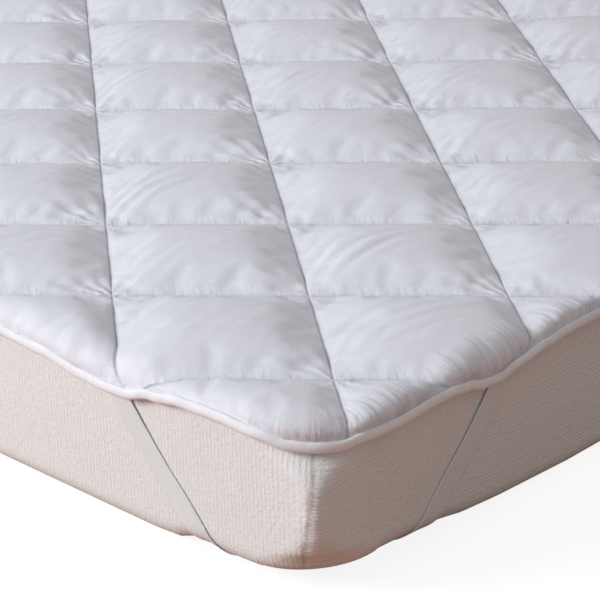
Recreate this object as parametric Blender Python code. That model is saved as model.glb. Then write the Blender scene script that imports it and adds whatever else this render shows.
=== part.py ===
"""Quilted mattress topper held by four corner straps on a plain foam mattress.

Metres, +Z up. The origin is the middle of the mattress's underside. X runs across the bed and
Y along it. The topper's middle surface is a flat rectangle with round corners that is laid over
the mattress top, bent over its edge and turned down into the binding.
"""

import math
import random

import bmesh
import bpy
from mathutils import Vector
from mathutils.geometry import delaunay_2d_cdt

# Mattress
BED_X = 1.600
BED_Y = 2.000
MATTRESS_TOP = 0.199
CORNER_RADIUS = 0.095
TOP_EDGE_RADIUS = 0.018
BOTTOM_EDGE_RADIUS = 0.026
CORNER_STEPS = 8
EDGE_STEPS = 3
# Round corner's radius up the mattress's side, tightest where the foam stands straight
CORNER_ROWS = (
    # height, radius
    (0.000, 0.105),
    (0.030, 0.095),
    (0.065, 0.062),
    (0.105, 0.052),
    (0.150, 0.060),
    (0.173, 0.090),
    (0.199, 0.095),
)
SIDE_ROWS = (0.065, 0.105, 0.150, 0.173)

# Topper
MIDDLE_Z = 0.203
HALF_CLOTH = 0.002
PUFF = 0.0165
PUFF_POWER = 0.62
PUFF_LEAST = 0.86
DIAMOND_X = 0.300
DIAMOND_Y = 0.360
CELLS_PER_DIAMOND = 6
NODE_X = -0.6801
NODE_Y = -0.9176
BEND_INSET = 0.022
HEM_OUT = 0.008
OVERHANG = 0.046
LIP = 0.008
GRID_MARGIN = 0.020
UNDER_STEP = 0.200

# Stations along a side follow the quilting grid's spacing
SIDE_STEPS_X = round((BED_X - 2 * CORNER_RADIUS) * CELLS_PER_DIAMOND / DIAMOND_X)
SIDE_STEPS_Y = round((BED_Y - 2 * CORNER_RADIUS) * CELLS_PER_DIAMOND / DIAMOND_Y)

# Where the rows of vertices over the edge lie, as distances beyond the start of the bend
RINGS = (0.0, 0.014, 0.027, OVERHANG - LIP, OVERHANG)
PUFF_FULL_AT = 0.012

# Hem: the distance from the middle of a corner, which is negative on the long sides and positive
# on the short ones, and the height of the binding's lower edge there
HEM = (
    # along, height
    (-0.470, 0.1860),
    (-0.400, 0.1810),
    (-0.330, 0.1710),
    (-0.297, 0.1690),
    (-0.260, 0.1700),
    (-0.215, 0.1810),
    (-0.166, 0.1885),
    (-0.105, 0.1900),
    (-0.050, 0.1870),
    (-0.026, 0.1790),
    (0.000, 0.1765),
    (0.028, 0.1755),
    (0.050, 0.1800),
    (0.100, 0.1790),
    (0.150, 0.1820),
    (0.185, 0.1820),
    (0.215, 0.1790),
    (0.240, 0.1720),
    (0.266, 0.1700),
    (0.300, 0.1770),
    (0.346, 0.1830),
    (0.392, 0.1870),
    (0.450, 0.1880),
)
HEM_WAVE = 0.0025
HEM_WAVE_LENGTH = 0.260

# Binding: a folded strip of cloth, as its section round the topper's edge.
# Out is away from the mattress and down is below the topper's edge.
BINDING = (
    # out, down
    (0.0023, -0.0062),
    (0.0036, -0.0070),
    (0.0058, -0.0038),
    (0.0052, 0.0010),
    (0.0022, 0.0038),
    (-0.0014, 0.0040),
    (-0.0042, 0.0008),
    (-0.0038, -0.0056),
    (-0.0023, -0.0056),
    (-0.0023, 0.0003),
    (0.0023, 0.0003),
)
BINDING_BELOW = 0.0040

# Straps: the middle of the band from its upper end to the mattress's underside. In is from the
# long side's face, along is from the short side's face, and tilt turns the band to face down.
STRAP_WIDTH = 0.030
STRAP_THICK = 0.0012
STRAP = (
    # in, along, height, tilt
    (-0.0028, 0.3015, 0.1780, 0.0),
    (-0.0026, 0.2935, 0.1600, 0.0),
    (-0.0020, 0.2640, 0.1225, 0.0),
    (-0.0015, 0.2345, 0.0880, 0.0),
    (-0.0012, 0.2150, 0.0640, 0.0),
    (-0.0012, 0.2040, 0.0490, 0.0),
    (-0.0008, 0.1945, 0.0352, 10.0),
    (0.0046, 0.1865, 0.0239, 38.0),
    (0.0132, 0.1775, 0.0167, 62.0),
    (0.0236, 0.1690, 0.0139, 85.0),
    (0.0420, 0.1530, 0.0138, 90.0),
)
GROOVE_FROM = 5
GROOVE_SIDE = 0.0005
GROOVE_DEEP = 0.0010
GROOVE_OUT = 0.0200

CORNERS = (
    ("near_left", -1, -1),
    ("near_right", 1, -1),
    ("far_right", 1, 1),
    ("far_left", -1, 1),
)


def clear_scene():
    for item in list(bpy.data.objects):
        bpy.data.objects.remove(item, do_unlink=True)


def material(name, colour, roughness):
    made = bpy.data.materials.new(name)
    made.use_nodes = True
    shader = made.node_tree.nodes["Principled BSDF"]
    shader.inputs["Base Color"].default_value = (*colour, 1.0)
    shader.inputs["Roughness"].default_value = roughness
    shader.inputs["Metallic"].default_value = 0.0
    return made


def add_piece(name, points, faces, cloth=None, smooth=True):
    mesh = bpy.data.meshes.new(name)
    mesh.from_pydata([tuple(p) for p in points], [], faces)
    shape = bmesh.new()
    shape.from_mesh(mesh)
    bmesh.ops.recalc_face_normals(shape, faces=shape.faces)
    shape.to_mesh(mesh)
    shape.free()
    if smooth:
        mesh.shade_smooth()
    piece = bpy.data.objects.new(name, mesh)
    bpy.context.scene.collection.objects.link(piece)
    if cloth:
        mesh.materials.append(cloth)
    return piece


def outline(half_x, half_y, radius, steps_x, steps_y):
    """Stations round a rectangle with round corners, each (foot, outward normal)."""
    stations = []
    for corner, (sx, sy) in enumerate(((1, 1), (-1, 1), (-1, -1), (1, -1))):
        centre = Vector((sx * (half_x - radius), sy * (half_y - radius)))
        for step in range(CORNER_STEPS + 1):
            turn = math.radians(90 * (corner + step / CORNER_STEPS))
            normal = Vector((math.cos(turn), math.sin(turn)))
            stations.append((centre + normal * radius, normal))
        last, normal = stations[-1]
        along = Vector((-normal.y, normal.x))
        if corner % 2 == 0:
            length = 2 * (half_x - radius)
            steps = steps_x
        else:
            length = 2 * (half_y - radius)
            steps = steps_y
        for step in range(1, steps):
            stations.append((last + along * length * step / steps, normal))
    return stations


def from_corner(foot, normal):
    """Distance along the mattress's side from the middle of its corner."""
    quarter = CORNER_RADIUS * math.pi / 4
    straight_x = BED_X / 2 - CORNER_RADIUS
    straight_y = BED_Y / 2 - CORNER_RADIUS
    if abs(foot.x) < straight_x:
        return quarter + straight_x - abs(foot.x)
    if abs(foot.y) < straight_y:
        return -(quarter + straight_y - abs(foot.y))
    return (math.atan2(abs(normal.y), abs(normal.x)) - math.pi / 4) * CORNER_RADIUS


def hem_height(along):
    """Height of the binding's lower edge."""
    first, last = HEM[0], HEM[-1]
    if along <= first[0]:
        end, past = first, first[0] - along
    elif along >= last[0]:
        end, past = last, along - last[0]
    else:
        for (a, low), (b, high) in zip(HEM, HEM[1:]):
            if along <= b:
                share = (along - a) / (b - a)
                share = share * share * (3 - 2 * share)
                return low + (high - low) * share
    return end[1] + HEM_WAVE * (math.cos(2 * math.pi * past / HEM_WAVE_LENGTH) - 1) / 2


def edge_drop(along):
    """How far the topper's cut edge lies below its middle surface on the mattress top."""
    return MIDDLE_Z - hem_height(along) - BINDING_BELOW


def bend(beyond, drop):
    """Out, down and the tilt of the surface at a distance beyond the start of the bend."""
    reach = BEND_INSET + HEM_OUT
    curve = OVERHANG - LIP
    if beyond >= curve:
        return reach, drop - OVERHANG + beyond, math.pi / 2
    turn = math.pi / 2 * beyond / curve
    fall = drop - LIP
    tilt = math.atan2(fall * math.sin(turn), reach * math.cos(turn))
    return reach * math.sin(turn), fall * (1 - math.cos(turn)), tilt


def diamond_of(x, y):
    """Lattice coordinates, which are whole numbers on the two families of seams."""
    u = (x - NODE_X) / DIAMOND_X
    v = (y - NODE_Y) / DIAMOND_Y
    return u - v, u + v


def puff_height(x, y, beyond):
    """Height of the filled top above the middle surface."""
    a, b = diamond_of(x, y)
    cell = (math.floor(a + 1e-6), math.floor(b + 1e-6))
    a = min(max(a - cell[0], 0.0), 1.0)
    b = min(max(b - cell[1], 0.0), 1.0)
    dome = max(16 * a * (1 - a) * b * (1 - b), 0.0) ** PUFF_POWER
    uneven = random.Random(cell[0] * 101 + cell[1] * 7).uniform(PUFF_LEAST, 1.0)
    fade = 1.0
    if beyond > PUFF_FULL_AT:
        share = (beyond - PUFF_FULL_AT) / (OVERHANG - LIP - PUFF_FULL_AT)
        fade = math.sqrt(max(1 - share * share, 0.0))
    return HALF_CLOTH + PUFF * dome * uneven * fade


def ring_point(station, beyond, above):
    """A point over the edge, given as beyond the start of the bend and above the middle surface."""
    foot, normal = station
    out, down, tilt = bend(beyond, edge_drop(from_corner(foot, normal)))
    plan = foot + normal * (out + above * math.sin(tilt))
    return Vector((plan.x, plan.y, MIDDLE_Z - down + above * math.cos(tilt)))


def inside_bend(x, y, margin):
    half_x = BED_X / 2 - BEND_INSET
    half_y = BED_Y / 2 - BEND_INSET
    radius = CORNER_RADIUS - BEND_INSET
    qx = abs(x) - half_x + radius
    qy = abs(y) - half_y + radius
    outside = math.hypot(max(qx, 0.0), max(qy, 0.0))
    return outside + min(max(qx, qy), 0.0) - radius < -margin


def grid_points(step_x, step_y, start_x, start_y):
    """Points of a grid inside the start of the bend, keyed by their row and column."""
    found = {}
    for column in range(-math.ceil(BED_X / step_x), math.ceil(BED_X / step_x) + 1):
        for row in range(-math.ceil(BED_Y / step_y), math.ceil(BED_Y / step_y) + 1):
            x = start_x + column * step_x
            y = start_y + row * step_y
            if inside_bend(x, y, GRID_MARGIN):
                found[(column, row)] = Vector((x, y))
    return found


def seam_edges(grid, order):
    """Grid diagonals that lie on a seam."""
    edges = []
    for column, row in grid:
        over = (column + 1, row + 1)
        if (column - row) % CELLS_PER_DIAMOND == 0 and over in grid:
            edges.append((order[(column, row)], order[over]))
        under = (column + 1, row - 1)
        if (column + row) % CELLS_PER_DIAMOND == 0 and under in grid:
            edges.append((order[(column, row)], order[under]))
    return edges


def filled(loop, grid, with_seams):
    """Triangles over the flat part. Indices below len(loop) are the loop's points."""
    keys = list(grid)
    order = {key: len(loop) + place for place, key in enumerate(keys)}
    flat = list(loop) + [grid[key] for key in keys]
    edges = seam_edges(grid, order) if with_seams else []
    made = delaunay_2d_cdt(flat, edges, [list(range(len(loop)))], 1, 1e-7, True)
    back = [sources[0] for sources in made[3]]
    faces = [[back[corner] for corner in face] for face in made[2]]
    return flat, faces


def quilted_pad(cloth):
    """The filled quilt: a puffed top, a flat underside and a thin edge inside the binding."""
    half_x = BED_X / 2 - BEND_INSET
    half_y = BED_Y / 2 - BEND_INSET
    radius = CORNER_RADIUS - BEND_INSET
    stations = outline(half_x, half_y, radius, SIDE_STEPS_X, SIDE_STEPS_Y)
    count = len(stations)
    loop = [foot for foot, normal in stations]
    points = []
    faces = []

    def add_rings(top):
        starts = []
        for beyond in RINGS:
            starts.append(len(points))
            for foot, normal in stations:
                above = -HALF_CLOTH
                if top:
                    flat = foot + normal * beyond
                    above = puff_height(flat.x, flat.y, beyond)
                points.append(ring_point((foot, normal), beyond, above))
        for inner, outer in zip(starts, starts[1:]):
            for place in range(count):
                after = (place + 1) % count
                quad = [inner + place, outer + place, outer + after, inner + after]
                faces.append(quad[:3])
                faces.append([quad[0], quad[2], quad[3]])
        return starts

    def add_middle(ring_start, grid, with_seams, top):
        flat, made = filled(loop, grid, with_seams)
        extra = len(points)
        for spot in flat[count:]:
            above = puff_height(spot.x, spot.y, 0.0) if top else -HALF_CLOTH
            points.append(Vector((spot.x, spot.y, MIDDLE_Z + above)))
        for face in made:
            faces.append([c + ring_start if c < count else c - count + extra for c in face])

    upper = add_rings(True)
    cell_x = DIAMOND_X / CELLS_PER_DIAMOND
    cell_y = DIAMOND_Y / CELLS_PER_DIAMOND
    add_middle(upper[0], grid_points(cell_x, cell_y, NODE_X, NODE_Y), True, True)
    lower = add_rings(False)
    add_middle(lower[0], grid_points(UNDER_STEP, UNDER_STEP, 0.0, 0.0), False, False)
    for place in range(count):
        after = (place + 1) % count
        top_a, top_b = upper[-1] + place, upper[-1] + after
        low_a, low_b = lower[-1] + place, lower[-1] + after
        faces.append([top_a, low_a, low_b])
        faces.append([top_a, low_b, top_b])
    return add_piece("quilted_pad", points, faces, cloth)


def swept_loop(name, stations, section, cloth):
    """A closed loop of one section, where section(station) gives its points in order."""
    points = []
    faces = []
    for station in stations:
        points.extend(section(station))
    around = len(points) // len(stations)
    for place in range(len(stations)):
        here = place * around
        there = (place + 1) % len(stations) * around
        for step in range(around):
            after = (step + 1) % around
            faces.append([here + step, there + step, there + after])
            faces.append([here + step, there + after, here + after])
    return add_piece(name, points, faces, cloth)


def binding(cloth):
    """The bias strip folded over the topper's cut edge."""

    def section(station):
        foot, normal = station
        drop = edge_drop(from_corner(foot, normal))
        reach = BEND_INSET + HEM_OUT
        ring = []
        for out, down in BINDING:
            plan = foot + normal * (reach + out)
            ring.append(Vector((plan.x, plan.y, MIDDLE_Z - drop - down)))
        return ring

    half_x = BED_X / 2 - BEND_INSET
    half_y = BED_Y / 2 - BEND_INSET
    radius = CORNER_RADIUS - BEND_INSET
    stations = outline(half_x, half_y, radius, SIDE_STEPS_X, SIDE_STEPS_Y)
    return swept_loop("binding", stations, section, cloth)


def strap_path():
    """Points of the band's middle with the way that each faces, near one corner."""
    path = []
    for depth, along, height, tilt in STRAP:
        turn = math.radians(tilt)
        face = Vector((-math.cos(turn), 0.0, -math.sin(turn)))
        path.append((Vector((depth, along, height)), face))
    middle = (STRAP[-1][0] + STRAP[-1][1]) / 2
    path.append((Vector((middle, middle, STRAP[-1][2])), face))
    for depth, along, height, tilt in reversed(STRAP):
        turn = math.radians(tilt)
        face = Vector((0.0, -math.cos(turn), -math.sin(turn)))
        path.append((Vector((along, depth, height)), face))
    return path


def band(path, half_width, inward, outward):
    """Points and faces of a flat band along a path."""
    points = []
    faces = []
    last = len(path) - 1
    for place, (spot, face) in enumerate(path):
        before = path[max(place - 1, 0)][0]
        after = path[min(place + 1, last)][0]
        run = (after - before).normalized()
        side = run.cross(face).normalized()
        out = side.cross(run).normalized()
        for wide, deep in ((-1, outward), (1, outward), (1, -inward), (-1, -inward)):
            points.append(spot + side * half_width * wide + out * deep)
    for place in range(last):
        here = 4 * place
        for step in range(4):
            after = (step + 1) % 4
            faces.append([here + step, here + 4 + step, here + after])
            faces.append([here + 4 + step, here + 4 + after, here + after])
    end = 4 * last
    faces.append([0, 1, 2])
    faces.append([0, 2, 3])
    faces.append([end, end + 2, end + 1])
    faces.append([end, end + 3, end + 2])
    return points, faces


def at_corner(points, sign_x, sign_y):
    placed = []
    for spot in points:
        x = sign_x * (BED_X / 2 - spot.x)
        y = sign_y * (BED_Y / 2 - spot.y)
        placed.append(Vector((x, y, spot.z)))
    return placed


def straps(cloth):
    """Four elastic bands, each under one corner with its ends behind the binding."""
    points, faces = band(strap_path(), STRAP_WIDTH / 2, STRAP_THICK / 2, STRAP_THICK / 2)
    for name, sign_x, sign_y in CORNERS:
        add_piece("strap_" + name, at_corner(points, sign_x, sign_y), faces, cloth, False)


def groove_cutter():
    """What the straps press out of the soft edge and the underside."""
    path = strap_path()[GROOVE_FROM:-GROOVE_FROM]
    half = STRAP_WIDTH / 2 + GROOVE_SIDE
    one, one_faces = band(path, half, GROOVE_DEEP, GROOVE_OUT)
    points = []
    faces = []
    for name, sign_x, sign_y in CORNERS:
        start = len(points)
        points.extend(at_corner(one, sign_x, sign_y))
        faces.extend([[corner + start for corner in face] for face in one_faces])
    cutter = add_piece("strap_grooves", points, faces, None, False)
    cutter.hide_render = True
    cutter.display_type = "WIRE"
    return cutter


def corner_radius(height):
    """The mattress's corner radius at a height."""
    for (low, small), (high, large) in zip(CORNER_ROWS, CORNER_ROWS[1:]):
        if height <= high:
            return small + (large - small) * (height - low) / (high - low)
    return CORNER_ROWS[-1][1]


def mattress(cloth):
    """A plain foam block in its cover, with round corners and edges."""
    rows = []
    for step in range(EDGE_STEPS + 1):
        turn = math.radians(90 * step / EDGE_STEPS)
        inset = BOTTOM_EDGE_RADIUS * (1 - math.sin(turn))
        rows.append((inset, BOTTOM_EDGE_RADIUS * (1 - math.cos(turn))))
    rows.extend((0.0, height) for height in SIDE_ROWS)
    for step in range(EDGE_STEPS + 1):
        turn = math.radians(90 * step / EDGE_STEPS)
        inset = TOP_EDGE_RADIUS * (1 - math.cos(turn))
        rows.append((inset, MATTRESS_TOP - TOP_EDGE_RADIUS * (1 - math.sin(turn))))
    points = []
    faces = []
    for inset, height in rows:
        radius = corner_radius(height) - inset
        ring = outline(BED_X / 2 - inset, BED_Y / 2 - inset, radius, 1, 1)
        points.extend(Vector((foot.x, foot.y, height)) for foot, normal in ring)
    count = len(points) // len(rows)
    for row in range(len(rows) - 1):
        for place in range(count):
            after = (place + 1) % count
            low = row * count
            high = low + count
            faces.append([low + place, low + after, high + after, high + place])
    faces.append(list(range(count)))
    faces.append([len(points) - count + place for place in range(count)])
    block = add_piece("mattress", points, faces, cloth, False)
    cut = block.modifiers.new("strap_grooves", "BOOLEAN")
    cut.operation = "DIFFERENCE"
    cut.solver = "EXACT"
    cut.object = groove_cutter()
    return block


clear_scene()
mattress(material("mattress_knit", (0.80, 0.76, 0.68), 0.95))
quilted_pad(material("pad_cotton", (0.86, 0.87, 0.89), 0.90))
binding(material("binding_cotton", (0.88, 0.88, 0.89), 0.90))
straps(material("strap_elastic", (0.78, 0.79, 0.80), 0.85))
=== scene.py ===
"""Looks of the quilted mattress topper with corner straps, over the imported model.

Metres, in the model's own frame. The topper's cloth is simulated flat, as quilted cloth over its
filling, then laid over the mattress top and bent over its edge by drape().
"""

import math

import bpy
import numpy as np
from mathutils import Matrix, Vector


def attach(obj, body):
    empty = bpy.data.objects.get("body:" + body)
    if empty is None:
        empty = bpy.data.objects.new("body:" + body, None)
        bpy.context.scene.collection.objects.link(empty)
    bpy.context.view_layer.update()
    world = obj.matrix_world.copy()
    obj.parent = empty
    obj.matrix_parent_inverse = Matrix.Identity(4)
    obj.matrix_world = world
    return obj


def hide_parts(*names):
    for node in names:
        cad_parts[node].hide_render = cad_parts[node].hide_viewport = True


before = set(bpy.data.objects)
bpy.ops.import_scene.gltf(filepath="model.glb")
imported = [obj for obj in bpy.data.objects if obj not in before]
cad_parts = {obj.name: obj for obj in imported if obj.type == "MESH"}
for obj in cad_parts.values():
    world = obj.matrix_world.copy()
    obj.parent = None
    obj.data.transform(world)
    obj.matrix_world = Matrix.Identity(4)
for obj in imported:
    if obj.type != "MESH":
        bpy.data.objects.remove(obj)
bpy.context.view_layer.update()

# Mattress
BED_X = 1.600
BED_Y = 2.000
MATTRESS_TOP = 0.199
CORNER_RADIUS = 0.095
TOP_EDGE_RADIUS = 0.018
BOTTOM_EDGE_RADIUS = 0.026

# Topper
MIDDLE_Z = 0.203
HALF_CLOTH = 0.002
PUFF = 0.0175
PUFF_POWER = 0.60
DIAMOND_X = 0.300
DIAMOND_Y = 0.360
NODE_X = -0.6801
NODE_Y = -0.9176
BEND_INSET = 0.022
HEM_OUT = 0.008
OVERHANG = 0.046
LIP = 0.008
PUFF_FULL_AT = 0.012
PUFF_FADE_POWER = 0.7
PUFF_UNEVEN = 0.07
FLAT_X = BED_X - 2 * BEND_INSET + 2 * OVERHANG
FLAT_Y = BED_Y - 2 * BEND_INSET + 2 * OVERHANG

# Quilt mesh: cells along each diamond's diagonals
CELLS = 48
SPARE_CLOTH = 0.016
PRESSURE = 2.2
SIM_FRAMES = 20
SIM_CAP = 0.012
START_ROUGHNESS = 0.0002
UNDER_STRIDE = 8

# Hem: the distance from the middle of a corner, which is negative on the long sides and positive
# on the short ones, and the height of the binding's lower edge there
HEM = (
    (-0.470, 0.1860),
    (-0.400, 0.1810),
    (-0.330, 0.1710),
    (-0.297, 0.1690),
    (-0.260, 0.1700),
    (-0.215, 0.1810),
    (-0.166, 0.1885),
    (-0.105, 0.1900),
    (-0.050, 0.1870),
    (-0.026, 0.1790),
    (0.000, 0.1765),
    (0.028, 0.1755),
    (0.050, 0.1800),
    (0.100, 0.1790),
    (0.150, 0.1820),
    (0.185, 0.1820),
    (0.215, 0.1790),
    (0.240, 0.1720),
    (0.266, 0.1700),
    (0.300, 0.1770),
    (0.346, 0.1830),
    (0.392, 0.1870),
    (0.450, 0.1880),
)
HEM_WAVE = 0.0025
HEM_WAVE_LENGTH = 0.260
BINDING_BELOW = 0.0040

# Straps: the middle of the band from its upper end to the mattress's underside
STRAP_WIDTH = 0.030
STRAP_THICK = 0.0012
STRAP = (
    # along, down the mattress's side from its top, off the cover
    (0.3015, 0.0210, 0.0028),
    (0.2935, 0.0390, 0.0026),
    (0.2640, 0.0765, 0.0018),
    (0.2345, 0.1110, 0.0012),
    (0.2150, 0.1350, 0.0011),
    (0.2020, 0.1520, 0.0011),
    (0.1900, 0.1680, 0.0011),
    (0.1790, 0.1830, 0.0011),
    (0.1670, 0.1980, 0.0011),
    (0.1480, 0.2190, 0.0011),
    (0.1230, 0.2450, 0.0011),
)
CORNERS = (
    ("near_left", -1, -1),
    ("near_right", 1, -1),
    ("far_right", 1, 1),
    ("far_left", -1, 1),
)

# Camera
CAMERA_AT = (-2.26347, -2.42678, 1.24001)
CAMERA_TURN = math.radians(45.478)
CAMERA_DOWN = math.radians(23.232)
CAMERA_ROLL = math.radians(-1.806)
CAMERA_LENS = 133.96
SENSOR_WIDTH = 36.0

# Stage: one soft key light, a dim sky, and a pale floor that throws warm light back
SKY = 0.42
SKY_COLOUR = (1.0, 0.955, 0.94)
KEY_AIM = (-0.6, -0.6, 0.2)
KEY_WAY = (-0.80, 0.47, 0.47)
KEY_DISTANCE = 6.0
KEY_SIZE = 2.4
KEY_POWER = 285.0
KEY_COLOUR = (0.955, 0.990, 1.030)
FLOOR_HALF = 14.0
FLOOR_BELOW = 0.0004
FLOOR_SEEN = (0.22, 0.22, 0.22)
FLOOR_BOUNCE = (0.47, 0.225, 0.14)
FLOOR_GLOW = 0.88


# ---------------------------------------------------------------- noise

HASH_X = 374761393
HASH_Y = 668265263
HASH_SEED = 982451653
HASH_MIX = 1274126177
SEED_PUFF = 5
SEED_FOLD_START = 6
SEED_FOLD_STRAY = 7
SEED_GATHER = 9
SEED_CLOTH = 11
SEED_BINDING_SWELL = 21
SEED_BINDING_GATHER = 22
SEED_COVER_SOFT = 41
SEED_COVER_FINE = 42
SEED_COVER_PUCKER = 43


def value_noise(x, y, seed):
    """Smooth noise from -1 to 1 on whole-number cells."""
    xi = np.floor(x).astype(np.int64)
    yi = np.floor(y).astype(np.int64)
    fx = x - xi
    fy = y - yi
    fx = fx * fx * fx * (fx * (fx * 6 - 15) + 10)
    fy = fy * fy * fy * (fy * (fy * 6 - 15) + 10)

    def corner(i, j):
        mixed = (i * HASH_X + j * HASH_Y + seed * HASH_SEED) & 0x7FFFFFFF
        mixed = ((mixed ^ (mixed >> 13)) * HASH_MIX) & 0x7FFFFFFF
        return ((mixed ^ (mixed >> 16)) & 0xFFFF) / 32767.5 - 1.0

    low = corner(xi, yi) * (1 - fx) + corner(xi + 1, yi) * fx
    high = corner(xi, yi + 1) * (1 - fx) + corner(xi + 1, yi + 1) * fx
    return low * (1 - fy) + high * fy


def smooth(edge0, edge1, x):
    """0 at edge0, 1 at edge1 and smooth between, whichever edge is the higher."""
    share = np.clip((x - edge0) / (edge1 - edge0), 0.0, 1.0)
    return share * share * (3 - 2 * share)


# ---------------------------------------------------------------- drape

def feet(flat):
    """The nearest point of the bend's start, its outward normal, and the distance beyond it."""
    half = np.array([BED_X / 2 - BEND_INSET, BED_Y / 2 - BEND_INSET])
    radius = CORNER_RADIUS - BEND_INSET
    sign = np.where(flat < 0, -1.0, 1.0)
    over = np.abs(flat) - (half - radius)
    corner = (over[:, 0] > 0) & (over[:, 1] > 0)
    length = np.maximum(np.hypot(over[:, 0], over[:, 1]), 1e-9)
    normal = np.zeros_like(flat)
    along_x = over[:, 0] >= over[:, 1]
    normal[:, 0] = np.where(corner, over[:, 0] / length, along_x)
    normal[:, 1] = np.where(corner, over[:, 1] / length, ~along_x)
    straight = np.where(along_x, over[:, 0], over[:, 1])
    beyond = np.where(corner, length, straight) - radius
    normal = normal * sign
    return flat - normal * beyond[:, None], normal, beyond


def from_corner(foot, normal):
    """Distance along the mattress's side from the middle of its corner."""
    quarter = CORNER_RADIUS * math.pi / 4
    straight_x = BED_X / 2 - CORNER_RADIUS
    straight_y = BED_Y / 2 - CORNER_RADIUS
    turn = np.arctan2(np.abs(normal[:, 1]), np.abs(normal[:, 0])) - math.pi / 4
    along = turn * CORNER_RADIUS
    on_long = np.abs(foot[:, 1]) < straight_y
    along = np.where(on_long, -(quarter + straight_y - np.abs(foot[:, 1])), along)
    on_short = np.abs(foot[:, 0]) < straight_x
    side = (quarter + straight_x - np.abs(foot[:, 0]))
    facing_y = np.abs(normal[:, 1]) > 0.999
    return np.where(on_short & facing_y, side, along)


def hem_height(along):
    """Height of the binding's lower edge."""
    table = np.array(HEM)
    where = np.clip(along, table[0, 0], table[-1, 0])
    row = np.clip(np.searchsorted(table[:, 0], where) - 1, 0, len(table) - 2)
    share = (where - table[row, 0]) / (table[row + 1, 0] - table[row, 0])
    share = share * share * (3 - 2 * share)
    height = table[row, 1] + (table[row + 1, 1] - table[row, 1]) * share
    past = np.abs(along - where)
    return height + HEM_WAVE * (np.cos(2 * np.pi * past / HEM_WAVE_LENGTH) - 1) / 2


def drape(flat, above):
    """Lays flat points over the mattress top and its edge, each at a height above the cloth."""
    foot, normal, beyond = feet(flat)
    drop = MIDDLE_Z - BINDING_BELOW - hem_height(from_corner(foot, normal))
    reach = BEND_INSET + HEM_OUT
    curve = OVERHANG - LIP
    turn = np.pi / 2 * np.clip(beyond / curve, 0.0, 1.0)
    fall = drop - LIP
    out = reach * np.sin(turn)
    down = fall * (1 - np.cos(turn))
    tilt = np.arctan2(fall * np.sin(turn), np.maximum(reach * np.cos(turn), 1e-9))
    past = beyond > curve
    down = np.where(past, drop - OVERHANG + beyond, down)
    tilt = np.where(past, np.pi / 2, tilt)
    out = out + above * np.sin(tilt)
    out = np.where(beyond < 0, beyond, out)
    plan = foot + normal * out[:, None]
    height = np.where(beyond < 0, MIDDLE_Z + above, MIDDLE_Z - down + above * np.cos(tilt))
    return np.column_stack([plan, height])


# ---------------------------------------------------------------- building pieces

def add_uv(mesh, layer, values):
    """A UV layer from one (u, v) for each point."""
    uv = mesh.uv_layers.new(name=layer)
    corners = np.empty(len(mesh.loops), np.int32)
    mesh.loops.foreach_get("vertex_index", corners)
    uv.data.foreach_set("uv", np.asarray(values, np.float32)[corners].ravel())


def add_piece(name, points, faces, uvs, cloths):
    """A smooth mesh object. uvs maps a layer's name to one (u, v) for each point."""
    mesh = bpy.data.meshes.new(name)
    faces = faces.tolist() if isinstance(faces, np.ndarray) else faces
    mesh.from_pydata(np.asarray(points).tolist(), [], faces)
    for layer, values in uvs.items():
        add_uv(mesh, layer, values)
    mesh.shade_smooth()
    for cloth in cloths:
        mesh.materials.append(cloth)
    piece = bpy.data.objects.new(name, mesh)
    bpy.context.scene.collection.objects.link(piece)
    return piece


def lengths(path):
    """How far along a path each of its points is."""
    return np.concatenate([[0], np.cumsum(np.linalg.norm(np.diff(path, axis=0), axis=1))])


def pairs(rows, columns):
    """(row's value, column's value) for each point of a grid."""
    return np.stack(np.broadcast_arrays(rows[:, None], columns[None, :]), -1).reshape(-1, 2)


def grid_faces(rows, columns, wrap_rows=False, wrap_columns=False):
    """Quads of a grid whose point at (row, column) is row * columns + column."""
    row = np.arange(rows if wrap_rows else rows - 1)
    column = np.arange(columns if wrap_columns else columns - 1)
    row, column = np.meshgrid(row, column, indexing="ij")
    row_after = (row + 1) % rows
    column_after = (column + 1) % columns
    quads = np.stack([
        row * columns + column,
        row_after * columns + column,
        row_after * columns + column_after,
        row * columns + column_after,
    ], axis=-1)
    return quads.reshape(-1, 4)


# ---------------------------------------------------------------- quilt

def lattice_grid(cells):
    """Whole-number grid indices that cover the flat topper, counted from a seam crossing."""
    step_x = DIAMOND_X / cells
    step_y = DIAMOND_Y / cells
    first_x = math.floor((-FLAT_X / 2 - NODE_X) / step_x) - 1
    last_x = math.ceil((FLAT_X / 2 - NODE_X) / step_x) + 1
    first_y = math.floor((-FLAT_Y / 2 - NODE_Y) / step_y) - 1
    last_y = math.ceil((FLAT_Y / 2 - NODE_Y) / step_y) + 1
    i, j = np.meshgrid(
        np.arange(first_x, last_x + 1), np.arange(first_y, last_y + 1), indexing="ij"
    )
    return i, j, NODE_X + i * step_x, NODE_Y + j * step_y


def diamonds(i, j, cells):
    """Which diamond each grid point is in, and how far across and up it is in that diamond."""
    a = (i - j) / cells
    b = (i + j) / cells
    cell_a = np.floor(a + 1e-9)
    cell_b = np.floor(b + 1e-9)
    return a, b, cell_a, cell_b, a - cell_a, b - cell_b


def each_diamond(cell_a, cell_b, seed):
    """One random number from -1 to 1 for each diamond."""
    return value_noise(cell_a * 1.37 + 0.5, cell_b * 1.71 + 0.5, seed)


def puff_dome(i, j, cells):
    """The puffs' even shape, 0 on the seams and 1 in the middle of each diamond."""
    _, _, cell_a, cell_b, across, up = diamonds(i, j, cells)
    even = np.clip(16 * across * (1 - across) * up * (1 - up), 0, None)
    uneven = 1 - PUFF_UNEVEN + PUFF_UNEVEN * each_diamond(cell_a, cell_b, SEED_PUFF)
    return even ** PUFF_POWER * uneven


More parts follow.
